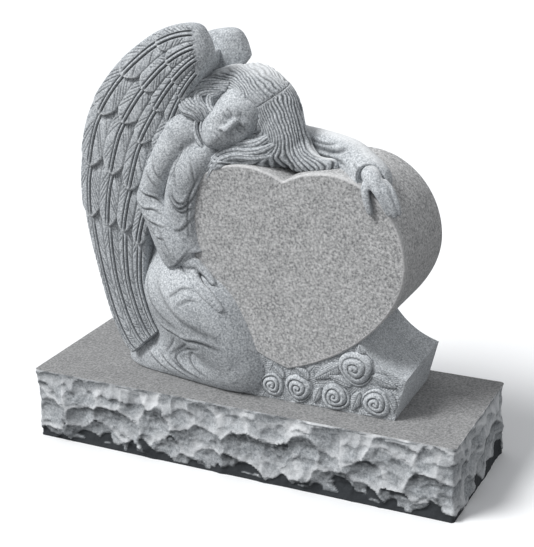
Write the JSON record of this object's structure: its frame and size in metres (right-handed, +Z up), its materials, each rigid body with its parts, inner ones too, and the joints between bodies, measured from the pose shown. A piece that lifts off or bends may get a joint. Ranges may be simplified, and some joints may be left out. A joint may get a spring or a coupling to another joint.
{
  "type": "granite angel and heart memorial",
  "caption": "Upright granite memorial: a kneeling winged angel leans over a blank heart-shaped face on a rose-carved block, standing on a rock-faced base slab.",
  "frame": {"origin": "on the ground under the middle of the base slab", "axes": "+Z up, -Y the blank face of the heart, +X from the angel towards the free end of the heart, along the slab"},
  "size_m": [1.251, 0.438, 1.1568],
  "materials": {
    "rock_faced_granite": "finely steeled top, rock-pitched sides",
    "carved_granite": "hand-carved and finely steeled"
  },
  "bodies": {
    "root": {"base_slab": "rock_faced_granite", "angel_and_heart": "carved_granite"}
  },
  "joints": []
}
